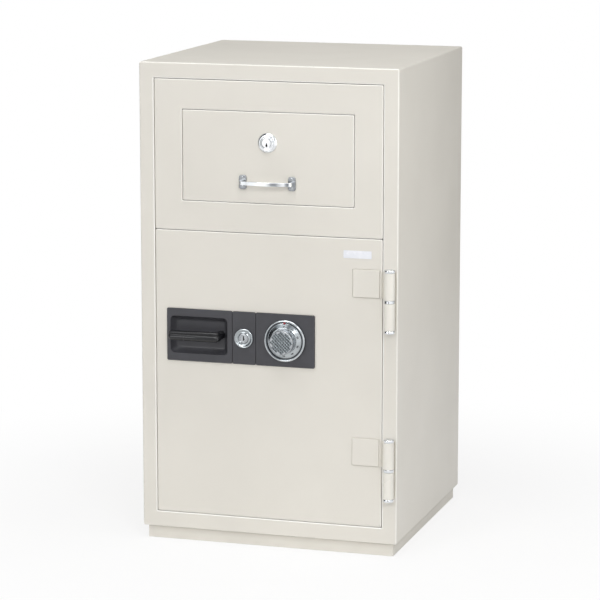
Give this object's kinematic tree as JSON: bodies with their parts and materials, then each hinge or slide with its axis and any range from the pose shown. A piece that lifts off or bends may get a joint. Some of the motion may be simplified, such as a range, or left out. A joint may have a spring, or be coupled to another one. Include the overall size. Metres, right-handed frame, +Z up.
{
  "type": "drop safe",
  "caption": "Floor-standing drop safe: a deposit drawer in a fixed panel feeds a throat into the chamber behind a hinged door with lever, key lock and combination dial",
  "frame": {"origin": "middle of the plinth's underside, where the safe stands on the floor", "axes": "+Z up; the front with door and drawer faces -Y; +X is to the right as seen from the front, where the hinges are"},
  "size_m": [0.55, 0.5565, 1.002],
  "materials": {
    "body_paint": "off-white paint, semi-gloss",
    "plinth_paint": "off-white paint, semi-gloss",
    "escutcheon_black": "charcoal enamel",
    "lever_black": "charcoal enamel on a cast lever",
    "chrome": "bright chrome plate",
    "steel": "bare steel",
    "zinc": "zinc-plated sheet steel",
    "brass": "bare brass",
    "fire_filling": "rough mineral filling, pale grey",
    "label_white": "blank white label"
  },
  "bodies": {
    "cabinet": {"plinth": "plinth_paint", "outer_casing": "body_paint", "inner_liner": "body_paint", "fire_filling": "fire_filling", "divider": "body_paint", "throat_liner": "zinc", "anti_fishing_baffle": "zinc", "upper_front_panel": "body_paint", "left_drawer_rail": "zinc", "right_drawer_rail": "zinc", "upper_hinge_frame_knuckle": "body_paint", "lower_hinge_frame_knuckle": "body_paint", "upper_hinge_pin": "chrome", "lower_hinge_pin": "chrome", "upper_hinge_ring": "chrome", "lower_hinge_ring": "chrome"},
    "door": {"upper_hinge_door_knuckle": "body_paint", "lower_hinge_door_knuckle": "body_paint", "upper_hinge_top_cap": "chrome", "lower_hinge_top_cap": "chrome", "upper_hinge_cover_plate": "body_paint", "lower_hinge_cover_plate": "body_paint", "door_front_plate": "body_paint", "door_filling": "fire_filling", "door_pan": "steel", "door_back_cover": "body_paint", "upper_fixed_bolt": "steel", "lower_fixed_bolt": "steel", "label_plate": "label_white", "handle_plate": "escutcheon_black", "key_plate": "escutcheon_black", "key_lock_cylinder": "chrome", "dial_plate": "escutcheon_black", "dial_bezel": "chrome", "combination_lock_case": "zinc"},
    "lever": {"lever_handle": "lever_black", "lever_spindle": "steel", "lever_crank": "steel"},
    "boltwork": {"bolt_bar": "steel", "upper_bolt": "chrome", "middle_bolt": "chrome", "lower_bolt": "chrome"},
    "door_key": {"key_plug": "chrome", "key_cam": "zinc"},
    "dial": {"dial_knob": "chrome", "dial_spindle": "steel", "drive_cam": "brass", "combination_wheels": "brass"},
    "drawer": {"drawer_front": "body_paint", "drawer_box": "zinc", "throat_shutter": "zinc", "left_drawer_runner": "steel", "right_drawer_runner": "steel", "bow_handle": "chrome", "drawer_lock_cylinder": "chrome", "flap_pin": "steel", "flap_spring": "steel"},
    "flap": {"drop_flap": "zinc"},
    "drawer_key": {"drawer_key_plug": "chrome", "drawer_lock_arm": "zinc"}
  },
  "joints": [
    {"name": "door_swing", "type": "hinge", "parent": "cabinet", "child": "door", "pos_m": [0.2605, -0.2738, 0.3595], "axis": [0, 0, 1], "range_deg": [0, 180]},
    {"name": "lever_turn", "type": "hinge", "parent": "door", "child": "lever", "pos_m": [-0.106, -0.2625, 0.44], "axis": [0, -1, 0], "range_deg": [0, 45]},
    {"name": "bolt_throw", "type": "slide", "parent": "door", "child": "boltwork", "axis": [-1, 0, 0], "range_m": [0, 0.0161]},
    {"name": "key_turn", "type": "hinge", "parent": "door", "child": "door_key", "pos_m": [-0.0505, -0.2625, 0.44], "axis": [0, -1, 0], "range_deg": [0, 90]},
    {"name": "dial_spin", "type": "hinge", "parent": "door", "child": "dial", "pos_m": [0.038, -0.2625, 0.44], "axis": [0, -1, 0], "continuous": true},
    {"name": "drawer_slide", "type": "slide", "parent": "cabinet", "child": "drawer", "axis": [0, -1, 0], "range_m": [0, 0.2]},
    {"name": "flap_drop", "type": "hinge", "parent": "drawer", "child": "flap", "pos_m": [0, -0.2165, 0.727], "axis": [-1, 0, 0], "range_deg": [0, 50], "stiffness_Nm_per_rad": 2.5, "springref_deg": -28.65},
    {"name": "drawer_key_turn", "type": "hinge", "parent": "drawer", "child": "drawer_key", "pos_m": [0, -0.2625, 0.8445], "axis": [0, -1, 0], "range_deg": [0, 90]}
  ],
  "couplings": [
    {"joint": "bolt_throw", "follows": "lever_turn", "m_per_rad": 0.020372}
  ]
}
